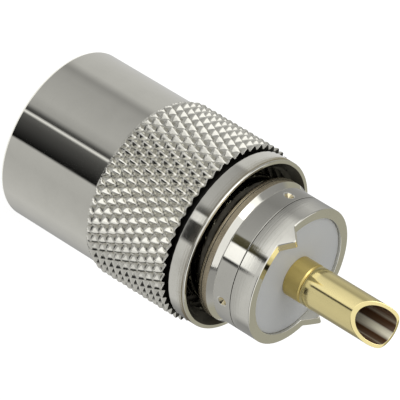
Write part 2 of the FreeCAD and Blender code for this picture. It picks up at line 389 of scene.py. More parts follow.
def build_piece(name, points, triangles, material_index, materials, body, node, cutter=None):
    """Makes the mesh object from points in millimetres and rides it on its body in its node's place.

    A cutter is the points and triangles of closed shapes that are taken out of the mesh.
    """
    triangles = outward(points, triangles)
    mesh = bpy.data.meshes.new(name)
    mesh.vertices.add(len(points))
    mesh.vertices.foreach_set("co", (points * MM).astype(np.float32).ravel())
    mesh.loops.add(triangles.size)
    mesh.loops.foreach_set("vertex_index", triangles.astype(np.int32).ravel())
    mesh.polygons.add(len(triangles))
    mesh.polygons.foreach_set("loop_start", np.arange(0, triangles.size, 3, dtype=np.int32))
    mesh.polygons.foreach_set("material_index", np.asarray(material_index, np.int32))
    mesh.polygons.foreach_set("use_smooth", np.ones(len(triangles), bool))
    mesh.update(calc_edges=True)
    mesh.set_sharp_from_angle(angle=SHARP_ANGLE)
    if mesh.validate():
        raise RuntimeError("%s has faces that aren't valid" % name)
    for material in materials:
        mesh.materials.append(material)
    piece = bpy.data.objects.new(name, mesh)
    bpy.context.scene.collection.objects.link(piece)
    if cutter is not None:
        cut_out(piece, *cutter)
    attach(piece, body)
    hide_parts(node)


def knurl_radius(phi, height, sizes):
    """Radius of the diamond knurl at each angle and height.

    With u = angle / half a division and v = height / half a pitch, points stand
    where u + v is an even whole number, and the two sets of grooves run where
    u + v or u - v is odd. With p and q the distances from the middle between
    two grooves of each set, as shares of the way to a groove, the larger of them
    gives a four-sided point. It is softened as m = (p ** 4 + q ** 4) ** (1 / 4),
    and the point's top is rounded by taking sqrt(m * m + rounding * rounding).
    """
    half_step = 180.0 / sizes.knurl_count
    u = (phi - KNURL_PHI) / half_step
    v = (height - KNURL_FIRST_Z) / (sizes.knurl_pitch / MM / 2)
    p = np.abs(np.mod(u + v + 1, 2) - 1)
    q = np.abs(np.mod(u - v + 1, 2) - 1)
    rounding = sizes.knurl_rounding
    steep = np.sqrt(np.sqrt(p ** 4 + q ** 4) + rounding ** 2)
    groove_steep = math.sqrt(1 + rounding ** 2)
    rise = (groove_steep - steep) / (groove_steep - rounding)
    radius = CREST_R - KNURL_EASE - sizes.knurl_depth / MM * (1 - np.clip(rise, 0, 1))
    chamfer = SKIRT_R + SLIGHT + (height - KNURL_REAR_Z) * KNURL_CHAMFER_DEPTH / KNURL_CHAMFER_LENGTH
    return np.minimum(radius, chamfer)


def thread_radius(phi, height, sizes):
    """Radius of the right-hand coupling thread inside the nut.

    The phase is the height less one pitch per turn. Crests are flat over a
    quarter of the pitch, the flanks slope at 30 degrees to the radius, and the
    groove's floor is flat between them.
    """
    pitch = sizes.thread_pitch / MM
    phase = np.mod(height / pitch - phi / 360.0, 1.0)
    from_crest = np.abs(phase - 0.5) * pitch
    into = (from_crest - pitch / 8) / math.tan(math.radians(30))
    return MINOR_R + np.clip(into, 0, MAJOR_R - MINOR_R)


def nut_surface(sizes):
    """Points, triangles and material numbers of the coupling nut.

    One closed outline is turned about the axis. The knurled band has three
    times as many columns as the rest, and its rings are joined to the coarser
    ones by fans on the steps at its ends. The threaded rows take the largest
    of the thread's radius and the two cones at its ends.
    """
    fine_per_step, coarse_share, thread_spacing = 6, 3, 0.066
    fine_n = 2 * sizes.knurl_count * fine_per_step
    coarse_n = fine_n // coarse_share
    fine_phi = KNURL_PHI + np.arange(fine_n) * 360.0 / fine_n
    coarse_phi = KNURL_PHI + np.arange(coarse_n) * 360.0 / coarse_n
    edge, skirt_edge = sizes.edge_radius / MM, sizes.skirt_radius / MM
    mouth_rear_z = NUT_FRONT_Z - (MOUTH_R - MAJOR_R)
    undercut_z = THREAD_REAR_Z - (MAJOR_R - MINOR_R)
    corners = [
        (SKIRT_R, 0), (SKIRT_R, KNURL_REAR_Z), (RELIEF_R, KNURL_FRONT_Z), (RELIEF_R, COLLAR_REAR_Z),
        (COLLAR_R, COLLAR_REAR_Z), (COLLAR_R, NUT_FRONT_Z), (MOUTH_R, NUT_FRONT_Z), (MAJOR_R, mouth_rear_z),
        (MAJOR_R, undercut_z), (MAJOR_R, LIP_FRONT_Z), (LIP_R, LIP_FRONT_Z), (LIP_R, LIP_REAR_Z),
        (SKIRT_BORE_R, LIP_REAR_Z), (SKIRT_BORE_R, ENTRY_CHAMFER), (SKIRT_BORE_R + ENTRY_CHAMFER, 0)]
    radii = [skirt_edge, 0, 0, 0.05, 0.05, edge, 0.06, 0, 0, 0.1, 0.08, 0.08, 0.1, 0.05, 0.05]
    rows = rounded_outline(corners, radii)

    def row_of(corner):
        """Number of the row at a corner that isn't rounded."""
        return int(np.argmin(np.linalg.norm(rows - np.array(corner), axis=1)))

    skirt_end, band_end = row_of(corners[1]), row_of(corners[2])
    mouth_end, thread_end = row_of(corners[7]), row_of(corners[8])
    cell = sizes.knurl_pitch / MM / 2 / fine_per_step
    low = int(math.ceil((KNURL_REAR_Z - KNURL_FIRST_Z) / cell))
    high = int(math.floor((KNURL_FRONT_Z - KNURL_FIRST_Z) / cell))
    steps = np.arange(low, high + 1)
    knurl_z = np.concatenate([[KNURL_REAR_Z], KNURL_FIRST_Z + steps * cell, [KNURL_FRONT_Z]])
    knurl_r = knurl_radius(fine_phi[None, :], knurl_z[:, None], sizes)
    thread_rows = int(round((mouth_rear_z - undercut_z) / thread_spacing))
    thread_z = np.linspace(mouth_rear_z, undercut_z, thread_rows)[1:-1]
    cone_r = np.maximum(MOUTH_R - (NUT_FRONT_Z - thread_z), MAJOR_R - (thread_z - undercut_z))
    thread_r = np.maximum(thread_radius(coarse_phi[None, :], thread_z[:, None], sizes), cone_r[:, None])

    skirt_rows = rows[:skirt_end + 1]
    collar_rows = rows[band_end:mouth_end + 1]
    inner_rows = rows[thread_end:]
    blocks, grids, count = [], [], 0

    def add(radius, height, phi):
        """Adds a block of rings and keeps the numbers of its points."""
        nonlocal count
        shape = np.broadcast(radius, height, phi).shape
        blocks.append(around(radius, phi, height))
        grids.append(np.arange(shape[0] * shape[1]).reshape(shape) + count)
        count += shape[0] * shape[1]

    add(skirt_rows[:, :1], skirt_rows[:, 1:], coarse_phi[None, :])
    add(knurl_r, knurl_z[:, None], fine_phi[None, :])
    add(collar_rows[:, :1], collar_rows[:, 1:], coarse_phi[None, :])
    add(thread_r, thread_z[:, None], coarse_phi[None, :])
    add(inner_rows[:, :1], inner_rows[:, 1:], coarse_phi[None, :])
    skirt, knurl, collar, thread, inner = grids

    cell_u = np.arange(fine_n) // fine_per_step
    cell_v = np.floor((knurl_z[:-1] + knurl_z[1:] - 2 * KNURL_FIRST_Z) / sizes.knurl_pitch * MM + 1e-9)
    anti = (cell_u[None, :] + cell_v[:, None]) % 2 == 0
    rest = np.concatenate([collar, thread, inner, skirt[:1]])
    parts = [
        strip_triangles(skirt),
        fan_triangles(skirt[-1], knurl[0]),
        strip_triangles(knurl, anti=anti),
        fan_triangles(collar[0], knurl[-1])[:, ::-1],
        strip_triangles(rest)]
    points = np.concatenate(blocks)
    triangles = np.concatenate(parts)
    middle = points[triangles].mean(axis=1)
    radius = np.hypot(middle[:, 0], middle[:, 1])
    height = middle[:, 2]
    # Faces inside the nut get the near-black bore plate as painted shade, all but the thread's crests, which
    # keep the nickel, so the crests read as lit and the grooves as shaded.
    inside = (radius < MOUTH_R - EDGE_BREAK) & (height > LIP_REAR_Z) & (height < NUT_FRONT_Z - NEAR)
    crest = inside & (radius < MINOR_R + SLIGHT) & (height > THREAD_REAR_Z)
    # The relief groove's faces get the near-black groove plate as painted shade.
    relief = (radius > MAJOR_R) & (height > KNURL_FRONT_Z - SLIGHT / 4) & (height < COLLAR_REAR_Z + SLIGHT)
    band = (radius > MAJOR_R) & (height > KNURL_REAR_Z) & (height < KNURL_FRONT_Z)
    index = np.where(band, NUT_KNURL, np.where(inside & ~crest, PAINTED_BORE, PLATE))
    return points, triangles, np.where(relief, GROOVE_SHADE, index)


def tooth_rise(radius, phi, sizes):
    """Height of the keying teeth over the rim: level at the tip, and falling evenly with the
    sideways distance radius * sin(angle from the tooth's middle) down to the rim."""
    half = sizes.tooth_width / MM / 2 + EDGE_BREAK
    tip = sizes.tooth_tip / MM / 2
    height = sizes.tooth_height / MM + EDGE_BREAK
    total = np.zeros(np.broadcast(radius, phi).shape)
    for middle in TOOTH_PHIS:
        turn = np.radians(phi - middle)
        aside = np.abs(radius * np.sin(turn))
        facing = np.cos(turn) > 0
        rise = np.clip((half - aside) / (half - tip), 0, 1) * height - EDGE_BREAK
        total = np.maximum(total, np.where(facing, rise, 0))
    return total


def stake_sink(phi, height, sizes):
    """Depth of the punch marks under the barrel's surface, a cone around each mark's middle."""
    total = np.zeros(np.broadcast(phi, height).shape)
    half = sizes.stake_width / MM / 2
    for middle in STAKE_PHIS:
        turn = (phi - middle + 180) % 360 - 180
        away = np.hypot(BARREL_R * np.radians(turn), height - STAKE_Z) / half
        total += sizes.stake_depth / MM * np.clip(1 - away, 0, 1)
    return total


def body_surface(sizes):
    """Points, triangles and material numbers of the plug body.

    One closed outline is turned about the axis. Its columns stand closer
    together near teeth and punch marks. The rim's rows are lifted by the teeth,
    and the barrel's rows are sunk by the punch marks.
    """
    stake_reach, stake_spacing, least_step = 0.56, 0.07, 0.12
    line_share, step_room, mark_room, flank_room, tube_rear = 0.8, 0.07, 0.5, 0.05, 1.0
    plain_step, tooth_half, tooth_step, stake_half, stake_step = 1.5, 14, 0.5, 4.8, 0.6
    line = sizes.line_depth / MM
    corners = [
        (TUBE_R, 0), (TUBE_R, FLANGE_REAR_Z), (FLANGE_R, FLANGE_REAR_Z),
        (FLANGE_R, FLANGE_LINE_Z - line), (FLANGE_R - line, FLANGE_LINE_Z), (FLANGE_R, FLANGE_LINE_Z + line),
        (FLANGE_R, FLANGE_FRONT_Z), (SHOULDER_R, BARREL_REAR_Z - EDGE_BREAK), (SHOULDER_R, BARREL_REAR_Z),
        (BARREL_R, BARREL_REAR_Z),
        (BARREL_R, BARREL_LINE_Z - line), (BARREL_R - line, BARREL_LINE_Z), (BARREL_R, BARREL_LINE_Z + line),
        (BARREL_R, RIM_Z), (SEAT_R, RIM_Z), (SEAT_R, SEAT_Z), (BOSS_R, SEAT_Z), (BOSS_R, CABLE_END_Z),
        (CABLE_R, CABLE_END_Z), (CABLE_R, ENTRY_CHAMFER), (CABLE_R + ENTRY_CHAMFER, 0)]
    radii = [EDGE_BREAK, 0.06, EDGE_BREAK, 0.02, 0.02, 0.02, 0.06, 0.03, 0.02, 0.05, 0.02, 0.02, 0.02,
             0.10, 0.05, 0.05, 0.02, 0.02, 0.05, 0.05, 0.05]
    rows = rounded_outline(corners, radii)
    rows = denser(rows, STAKE_Z - stake_reach, STAKE_Z + stake_reach, BARREL_R, stake_spacing)
    phis = [np.arange(0, 360, plain_step)]
    for middle in TOOTH_PHIS:
        phis.append(middle + np.arange(-tooth_half, tooth_half + tooth_step / 2, tooth_step))
    for middle in STAKE_PHIS:
        phis.append(middle + np.arange(-stake_half, stake_half + stake_step / 2, stake_step))
    phi = np.unique(np.round(np.concatenate(phis) % 360, 3))
    phi = phi[np.diff(np.append(phi, phi[0] + 360)) > least_step]
    radius = np.repeat(rows[:, :1], len(phi), axis=1)
    height = np.repeat(rows[:, 1:], len(phi), axis=1)
    rim = rows[:, 1] > RIM_Z - EDGE_BREAK - SAME
    height[rim] += tooth_rise(radius[rim], phi[None, :], sizes)
    barrel = (np.abs(rows[:, 0] - BARREL_R) < SAME) & (np.abs(rows[:, 1] - STAKE_Z) < stake_reach + NEAR)
    radius[barrel] -= stake_sink(phi[None, :], height[barrel], sizes)
    points = around(radius, phi[None, :], height)
    grid = np.arange(len(points)).reshape(radius.shape)
    triangles = strip_triangles(grid, close_rows=True)
    middle = points[triangles].mean(axis=1)
    radial, level = np.hypot(middle[:, 0], middle[:, 1]), middle[:, 2]
    # The inside of the tube gets the near-black bore plate as painted shade.
    inside = (radial < CABLE_R + NEAR) & (level > tube_rear) & (level < CABLE_END_Z + NEAR)
    # The turned lines and the step at the barrel's rear get the near-black groove plate as painted shade.
    near_line = np.minimum(np.abs(level - BARREL_LINE_Z), np.abs(level - FLANGE_LINE_Z)) < line * line_share
    step = (np.abs(level - BARREL_REAR_Z) < step_room) & (radial < BARREL_R - SLIGHT)
    groove = (near_line & (radial > TUBE_R + NEAR)) | (step & (radial > SHOULDER_R - SLIGHT))
    sunk = (radial < BARREL_R - flank_room) & (radial > SEAT_R + 3 * NEAR)
    punched = (np.abs(level - STAKE_Z) < mark_room) & sunk
    # The punch marks get the brighter gold-tinted plate as worn plating, and the tooth's flanks on the
    # camera's side (-Y) get it as a painted highlight.
    flank = (level > RIM_Z + flank_room) & (radial < BARREL_R - EDGE_BREAK) & (middle[:, 1] < 0)
    # The flange's outer side gets a darker brownish plate as painted shade from the nut in front of it.
    flange = (radial > FLANGE_R - NEAR) & (level < FLANGE_FRONT_Z)
    index = np.where(flange, BODY_FLANGE_SHADE, np.where(inside, PAINTED_BORE, PLATE))
    index = np.where(groove, GROOVE_SHADE, index)
    return points, triangles, np.where(punched | flank, BODY_WORN_AND_HIGHLIGHT, index)


def contact_surface(sizes):
    """Points, triangles and material numbers of the hollow pin.

    One closed outline is turned about the axis up to a square tip. The rows
    above the groove are then drawn down so that the tip's rows end on the
    smaller of the square end and the slope
    z = tip - setback - tan(angle) * radius * cos(phi), which is low at
    phi = 0. The two meet in a rounded corner: with d their difference, the
    smaller of both is (sum - sqrt(d * d + round * round)) / 2.
    """
    lip = sizes.lip_radius / MM
    groove = sizes.groove_depth / MM
    corners = [
        (SHANK_BORE_R, CABLE_END_Z), (SHANK_R, CABLE_END_Z), (SHANK_R, FACE_Z), (PIN_R, FACE_Z),
        (PIN_R, GROOVE_Z), (PIN_R - groove, GROOVE_Z + GROOVE_WIDTH / 2), (PIN_R, GROOVE_Z + GROOVE_WIDTH),
        (PIN_R, TIP_Z), (PIN_BORE_R, TIP_Z), (PIN_BORE_R, BORE_END_Z), (SHANK_BORE_R, BORE_END_Z)]
    radii = [0.03, 0.03, 0.02, 0.02, 0.03, 0.05, 0.03, lip, lip, 0.02, 0.02]
    rows = rounded_outline(corners, radii)
    phi = np.arange(0, 360, 2.25)
    radius = np.repeat(rows[:, :1], len(phi), axis=1)
    height = np.repeat(rows[:, 1:], len(phi), axis=1)
    start_z = GROOVE_Z + GROOVE_WIDTH + 0.1
    share = np.clip((height - start_z) / (TIP_Z - start_z), 0, 1)
    above = -CUT_SETBACK - math.tan(sizes.cut_angle) * radius * np.cos(np.radians(phi))[None, :]
    drop = (above - np.sqrt(above ** 2 + (sizes.corner_round / MM) ** 2)) / 2
    points = around(radius, phi[None, :], height + share * drop)
    grid = np.arange(len(points)).reshape(radius.shape)
    triangles = strip_triangles(grid, close_rows=True)
    middle = points[triangles].mean(axis=1)
    # The pin's bore gets painted shade with painted highlight streaks.
    inside = np.hypot(middle[:, 0], middle[:, 1]) < PIN_BORE_R + SLIGHT
    foot = (middle[:, 2] < GROOVE_Z + GROOVE_WIDTH) & ~inside
    return points, triangles, np.where(foot, PIN_FOOT, np.where(inside, PAINTED_BORE, PLATE))


def insulator_surface():
    """Points, triangles and material numbers of the insulator, one closed outline turned about the axis."""
    corners = [(SHANK_R, CABLE_END_Z), (BOSS_R, CABLE_END_Z), (BOSS_R, SEAT_Z), (SEAT_R, SEAT_Z),
               (SEAT_R, FACE_Z), (SHANK_R, FACE_Z)]
    rows = rounded_outline(corners, [0.03, 0.03, 0.03, 0.03, 0.08, 0.03])
    phi = np.arange(0, 360, 2.0)
    points = around(rows[:, :1], phi[None, :], rows[:, 1:])
    grid = np.arange(len(points)).reshape(len(rows), len(phi))
    triangles = strip_triangles(grid, close_rows=True)
    return points, triangles, np.zeros(len(triangles), int)


def add_node(tree, kind, **inputs):
    """A node of that kind in the tree, with its inputs set or linked by name."""
    node = tree.nodes.new(kind)
    for name, value in inputs.items():
        socket = node.inputs[name.replace("_", " ")]
        if isinstance(value, bpy.types.NodeSocket):
            tree.links.new(value, socket)
        else:
            socket.default_value = value
    return node


def add_math(tree, operation, first, second=0.0):
    """Output of a math node on two values or sockets."""
    node = tree.nodes.new("ShaderNodeMath")
    node.operation = operation
    for socket, value in zip(node.inputs, (first, second)):
        if isinstance(value, bpy.types.NodeSocket):
            tree.links.new(value, socket)
        else:
            socket.default_value = value
    return node.outputs[0]


def turned_plate_group():
    """Node group for plated turned metal: fine turning lines, faint clouding and small scuffs.

    Lines are noise of height and radius only, so they run around the axis.
    """
    group = bpy.data.node_groups.new("Turned plate", "ShaderNodeTree")
    face = group.interface
    face.new_socket("Colour", in_out="INPUT", socket_type="NodeSocketColor")
    face.new_socket("Shade", in_out="INPUT", socket_type="NodeSocketColor")
    face.new_socket("Roughness", in_out="INPUT", socket_type="NodeSocketFloat")
    face.new_socket("Line density", in_out="INPUT", socket_type="NodeSocketFloat")
    face.new_socket("Wear", in_out="INPUT", socket_type="NodeSocketFloat")
    face.new_socket("Colour", in_out="OUTPUT", socket_type="NodeSocketColor")
    face.new_socket("Roughness", in_out="OUTPUT", socket_type="NodeSocketFloat")
    face.new_socket("Height", in_out="OUTPUT", socket_type="NodeSocketFloat")
    source = group.nodes.new("NodeGroupInput")
    result = group.nodes.new("NodeGroupOutput")
    place = group.nodes.new("ShaderNodeTexCoord").outputs["Object"]
    parts = add_node(group, "ShaderNodeSeparateXYZ", Vector=place)
    flat = add_node(group, "ShaderNodeCombineXYZ", X=parts.outputs["X"], Y=parts.outputs["Y"])
    length = group.nodes.new("ShaderNodeVectorMath")
    length.operation = "LENGTH"
    group.links.new(flat.outputs[0], length.inputs[0])
    across = add_node(group, "ShaderNodeCombineXYZ", X=parts.outputs["Z"], Y=length.outputs["Value"])
    lines = add_node(group, "ShaderNodeTexNoise", Vector=across.outputs[0], Detail=2.0, Roughness=0.6,
                     Scale=source.outputs["Line density"])
    cloud = add_node(group, "ShaderNodeTexNoise", Vector=place, Scale=420.0, Detail=4.0, Roughness=0.6)
    specks = add_node(group, "ShaderNodeTexNoise", Vector=place, Scale=5200.0, Detail=2.0, Roughness=0.5)
    spread = add_node(group, "ShaderNodeMapRange", Value=cloud.outputs["Fac"], From_Min=0.42, From_Max=0.72)
    spots = add_node(group, "ShaderNodeMapRange", Value=specks.outputs["Fac"], From_Min=0.62, From_Max=0.74)
    marks = add_math(group, "MAXIMUM", spread.outputs["Result"], spots.outputs["Result"])
    worn = add_math(group, "MULTIPLY", marks, source.outputs["Wear"])
    mix = group.nodes.new("ShaderNodeMix")
    mix.data_type = "RGBA"
    group.links.new(worn, mix.inputs["Factor"])
    group.links.new(source.outputs["Colour"], mix.inputs["A"])
    group.links.new(source.outputs["Shade"], mix.inputs["B"])
    group.links.new(mix.outputs["Result"], result.inputs["Colour"])
    rough = add_math(group, "ADD", source.outputs["Roughness"], add_math(group, "MULTIPLY", worn, 0.12))
    group.links.new(rough, result.inputs["Roughness"])
    grain = add_math(group, "MULTIPLY", specks.outputs["Fac"], 0.25)
    group.links.new(add_math(group, "ADD", lines.outputs["Fac"], grain), result.inputs["Height"])
    return group


def plated_material(name, group, colour, shade, roughness, line_density, line_strength, wear):
    """Metal with the turned plate group's colour, roughness and fine relief."""
    material = bpy.data.materials.new(name)
    material.use_nodes = True
    tree = material.node_tree
    shader = tree.nodes["Principled BSDF"]
    shader.inputs["Metallic"].default_value = 1.0
    plate = tree.nodes.new("ShaderNodeGroup")
    plate.node_tree = group
    plate.inputs["Colour"].default_value = (*colour, 1)
    plate.inputs["Shade"].default_value = (*shade, 1)
    plate.inputs["Roughness"].default_value = roughness
    plate.inputs["Line density"].default_value = line_density
    plate.inputs["Wear"].default_value = wear
    tree.links.new(plate.outputs["Colour"], shader.inputs["Base Color"])
    tree.links.new(plate.outputs["Roughness"], shader.inputs["Roughness"])
    bump = add_node(tree, "ShaderNodeBump", Height=plate.outputs["Height"], Strength=line_strength,
                    Distance=0.00002)
    tree.links.new(bump.outputs["Normal"], shader.inputs["Normal"])
    return material


def bore_painted_highlights_group():
    """Node group for the hollow pin's inside: light streaks of painted highlight along the axis on a dark
    ground of painted shade.

    The angle around the axis, in turns from the -Y side, which faces the camera, runs through
    a ramp of shares, and a noise stretched along the axis breaks it up.
    """
    group = bpy.data.node_groups.new("Bore painted highlights", "ShaderNodeTree")
    face = group.interface
    face.new_socket("Ground", in_out="INPUT", socket_type="NodeSocketColor")
    face.new_socket("Streak", in_out="INPUT", socket_type="NodeSocketColor")
    face.new_socket("Colour", in_out="OUTPUT", socket_type="NodeSocketColor")
    face.new_socket("Roughness", in_out="OUTPUT", socket_type="NodeSocketFloat")
    source = group.nodes.new("NodeGroupInput")
    result = group.nodes.new("NodeGroupOutput")
    place = group.nodes.new("ShaderNodeTexCoord").outputs["Object"]
    parts = add_node(group, "ShaderNodeSeparateXYZ", Vector=place)
    facing = add_math(group, "MULTIPLY", parts.outputs["Y"], -1.0)
    angle = add_math(group, "ARCTAN2", parts.outputs["X"], facing)
    turns = add_math(group, "FRACT", add_math(group, "ADD", add_math(group, "DIVIDE", angle, math.tau), 1.0))
    ramp = group.nodes.new("ShaderNodeValToRGB")
    shares = ((0.0, 0.0), (0.33, 0.0), (0.35, 0.30), (0.37, 0.05), (0.42, 0.0), (0.45, 1.0), (0.505, 1.0),
              (0.52, 0.05), (0.58, 0.0), (0.60, 0.35), (0.62, 0.2), (0.65, 0.0))
    ramp.color_ramp.elements.remove(ramp.color_ramp.elements[0])
    for number, (at, share) in enumerate(shares):
        element = ramp.color_ramp.elements[0] if number == 0 else ramp.color_ramp.elements.new(at)
        element.position = at
        element.color = (share, share, share, 1)
    group.links.new(turns, ramp.inputs["Fac"])
    stretched = add_node(group, "ShaderNodeMapping", Vector=place, Scale=(1.0, 1.0, 0.06))
    noise = add_node(group, "ShaderNodeTexNoise", Vector=stretched.outputs[0], Scale=2600.0, Detail=2.0)
    broken = add_node(group, "ShaderNodeMapRange", Value=noise.outputs["Fac"], From_Min=0.35, From_Max=0.6,
                      To_Min=0.7, To_Max=1.0)
    share = add_math(group, "MULTIPLY", ramp.outputs["Color"], broken.outputs["Result"])
    mix = group.nodes.new("ShaderNodeMix")
    mix.data_type = "RGBA"
    group.links.new(share, mix.inputs["Factor"])
    group.links.new(source.outputs["Ground"], mix.inputs["A"])
    group.links.new(source.outputs["Streak"], mix.inputs["B"])
    group.links.new(mix.outputs["Result"], result.inputs["Colour"])
    rough = add_math(group, "ADD", 0.22, add_math(group, "MULTIPLY", share, 0.25))
    group.links.new(rough, result.inputs["Roughness"])
    return group


def bore_material(name, ground, streak):
    """Metal inside the hollow pin with the group's painted shade and painted highlight streaks as its colour,
    and the group's roughness.
    """
    material = bpy.data.materials.new(name)
    material.use_nodes = True
    tree = material.node_tree
    shader = tree.nodes["Principled BSDF"]
    shader.inputs["Metallic"].default_value = 0.1
    node = tree.nodes.new("ShaderNodeGroup")
    node.node_tree = bore_painted_highlights_group()
    node.inputs["Ground"].default_value = (*ground, 1)
    node.inputs["Streak"].default_value = (*streak, 1)
    tree.links.new(node.outputs["Colour"], shader.inputs["Base Color"])
    tree.links.new(node.outputs["Roughness"], shader.inputs["Roughness"])


def insulator_material(colour):
    """Smooth off-white plastic with faint mottling and very fine grain."""
    material = bpy.data.materials.new("Insulator plastic")
    material.use_nodes = True
    tree = material.node_tree
    shader = tree.nodes["Principled BSDF"]
    shader.inputs["Roughness"].default_value = 0.42
    shader.inputs["Specular IOR Level"].default_value = 0.45
    place = tree.nodes.new("ShaderNodeTexCoord").outputs["Object"]
    mottle = add_node(tree, "ShaderNodeTexNoise", Vector=place, Scale=260.0, Detail=3.0)
    mix = tree.nodes.new("ShaderNodeMix")
    mix.data_type = "RGBA"
    tree.links.new(mottle.outputs["Fac"], mix.inputs["Factor"])
    mix.inputs["A"].default_value = (*[c * 0.96 for c in colour], 1)
    mix.inputs["B"].default_value = (*[c * 1.04 for c in colour], 1)
    tree.links.new(mix.outputs["Result"], shader.inputs["Base Color"])
    grain = add_node(tree, "ShaderNodeTexNoise", Vector=place, Scale=9000.0, Detail=2.0)
    bump = add_node(tree, "ShaderNodeBump", Height=grain.outputs["Fac"], Strength=0.15, Distance=0.00001)
    tree.links.new(bump.outputs["Normal"], shader.inputs["Normal"])
    return material


def finishes():
    """The materials of the plug, made once and kept by name."""
    settings = bpy.context.scene.plug_finish
    if "Nickel plate" not in bpy.data.materials:
        group = turned_plate_group()
        nickel, gold, bore = tuple(settings.nickel), tuple(settings.gold), tuple(settings.bore)
        plated_material("Nickel plate", group, nickel, [c * 0.82 for c in nickel], settings.nickel_roughness,
                        9000.0, settings.line_strength, 0.25)
        plated_material("Knurled nickel plate", group, nickel, [c * 0.78 for c in nickel],
                        settings.knurl_roughness, 9000.0, settings.line_strength, 0.35)
        # Near-black plate that paints the shade inside the nut and the body's bore.
        plated_material("Bore painted shade plate", group, bore, [c * 0.5 for c in bore], 0.32, 5000.0, 0.2, 0.6)
        plated_material("Gold plate", group, gold, [c * 0.85 for c in gold], settings.gold_roughness,
                        7000.0, settings.line_strength, 0.2)
        # Darker brownish plate that paints the shade on the flange from the nut in front of it.
        plated_material("Flange painted shade plate", group, (0.46, 0.40, 0.29), (0.33, 0.27, 0.18), 0.24, 9000.0,
                        0.3, 0.5)
        # Pin's bore: a dark ground of painted shade with light streaks of painted highlight.
        bore_material("Pin bore painted shade and highlights", (0.09, 0.040, 0.016), (1.0, 0.95, 0.74))
        plated_material("Matt gold", group, (0.69, 0.55, 0.20), (0.57, 0.44, 0.15), 0.36, 5000.0, 0.15,
                        0.5)
        # Brighter gold-tinted plate: worn plating in the punch marks, a painted highlight on the tooth's
        # flanks.
        plated_material("Worn plate and painted highlight", group, (0.86, 0.76, 0.50), (0.70, 0.62, 0.45), 0.16, 5000.0, 0.15,
                        0.8)
        # Near-black plate that paints the shade in grooves.
        plated_material("Groove painted shade plate", group, [c * 0.05 for c in nickel], [c * 0.02 for c in nickel],
                        0.35, 5000.0, 0.2, 0.6)
        insulator_material(tuple(settings.plastic))
    return bpy.data.materials


class PLUG_OT_coupling_nut(bpy.types.Operator):
    """Build the coupling nut with its diamond knurl and thread"""
    bl_idname = "plug.coupling_nut"
    bl_label = "Coupling nut"

    def execute(self, context):
        found = finishes()
        points, triangles, index = nut_surface(context.scene.plug_nut)
        plates = [found["Nickel plate"], found["Bore painted shade plate"], found["Groove painted shade plate"],
                  found["Knurled nickel plate"]]
        build_piece("nut_shell", points, triangles, index, plates, "nut", "coupling_nut")
        return {"FINISHED"}


class PLUG_OT_plug_body(bpy.types.Operator):
    """Build the plug body with its flange, barrel, teeth and punch marks"""
    bl_idname = "plug.plug_body"
    bl_label = "Plug body"

    def execute(self, context):
        found = finishes()
        points, triangles, index = body_surface(context.scene.plug_body)
        plates = [found["Nickel plate"], found["Bore painted shade plate"], found["Groove painted shade plate"],
                  found["Worn plate and painted highlight"], found["Flange painted shade plate"]]
        build_piece("body_shell", points, triangles, index, plates, "plug", "plug_body",
                    cutter=solder_hole_cutter())
        return {"FINISHED"}


class PLUG_OT_centre_contact(bpy.types.Operator):
    """Build the hollow centre contact with its oblique tip"""
    bl_idname = "plug.centre_contact"
    bl_label = "Centre contact"

    def execute(self, context):
        points, triangles, index = contact_surface(context.scene.plug_contact)
        found = finishes()
        plates = [found["Gold plate"], found["Pin bore painted shade and highlights"], found["Matt gold"]]
        build_piece("contact_pin", points, triangles, index, plates, "plug", "centre_contact")
        return {"FINISHED"}


class PLUG_OT_insulator(bpy.types.Operator):
    """Build the insulator disc"""
    bl_idname = "plug.insulator"
    bl_label = "Insulator"

    def execute(self, context):
        points, triangles, index = insulator_surface()
        build_piece("insulator_disc", points, triangles, index, [finishes()["Insulator plastic"]], "plug",
                    "insulator")
        return {"FINISHED"}


def seen_rays(tree):
    """One for camera, glossy and transmission rays, else zero."""
    path = tree.nodes.new("ShaderNodeLightPath").outputs
    return add_math(tree, "MAXIMUM", path["Is Camera Ray"],
                    add_math(tree, "MAXIMUM", path["Is Glossy Ray"], path["Is Transmission Ray"]))


def floor_material(colour):
    """Pale matt floor that shows near white where nothing shades it."""
    material = bpy.data.materials.new("Pale floor")
    material.use_nodes = True
    tree = material.node_tree
    shader = tree.nodes["Principled BSDF"]
    shader.inputs["Base Color"].default_value = (*[c * 0.5 for c in colour], 1)
    shader.inputs["Roughness"].default_value = 0.9
    shader.inputs["Specular IOR Level"].default_value = 0.0
    shader.inputs["Emission Color"].default_value = (1, 1, 1, 1)
    glow = add_math(tree, "MULTIPLY", seen_rays(tree), FLOOR_GLOW)
    tree.links.new(glow, shader.inputs["Emission Strength"])
    return material


def build_world(strength):
    """Plain white surroundings at a plain level of light."""
    world = bpy.data.worlds.new("Studio")
    world.use_nodes = True
    bpy.context.scene.world = world
    tree = world.node_tree
    background = tree.nodes["Background"]
    background.inputs["Color"].default_value = (1, 1, 1, 1)
    seen = seen_rays(tree)
    rest = add_math(tree, "MULTIPLY", add_math(tree, "SUBTRACT", 1.0, seen), strength)
    tree.links.new(add_math(tree, "ADD", seen, rest), background.inputs["Strength"])


def grey_ramp(tree, place, stops, low, high):
    """Output of a ramp of greys whose stops are given in the units of its input, between low and high."""
    share = add_node(tree, "ShaderNodeMapRange", Value=place, From_Min=float(low), From_Max=float(high))
    ramp = tree.nodes.new("ShaderNodeValToRGB")
    ramp.color_ramp.elements.remove(ramp.color_ramp.elements[0])
    for number, (at, grey) in enumerate(stops):
        where = (at - low) / (high - low)
        element = ramp.color_ramp.elements[0] if number == 0 else ramp.color_ramp.elements.new(where)
        element.position = where
        element.color = (*grey, 1) if isinstance(grey, tuple) else (grey, grey, grey, 1)
    tree.links.new(share.outputs["Result"], ramp.inputs["Fac"])
    return ramp.outputs["Color"]


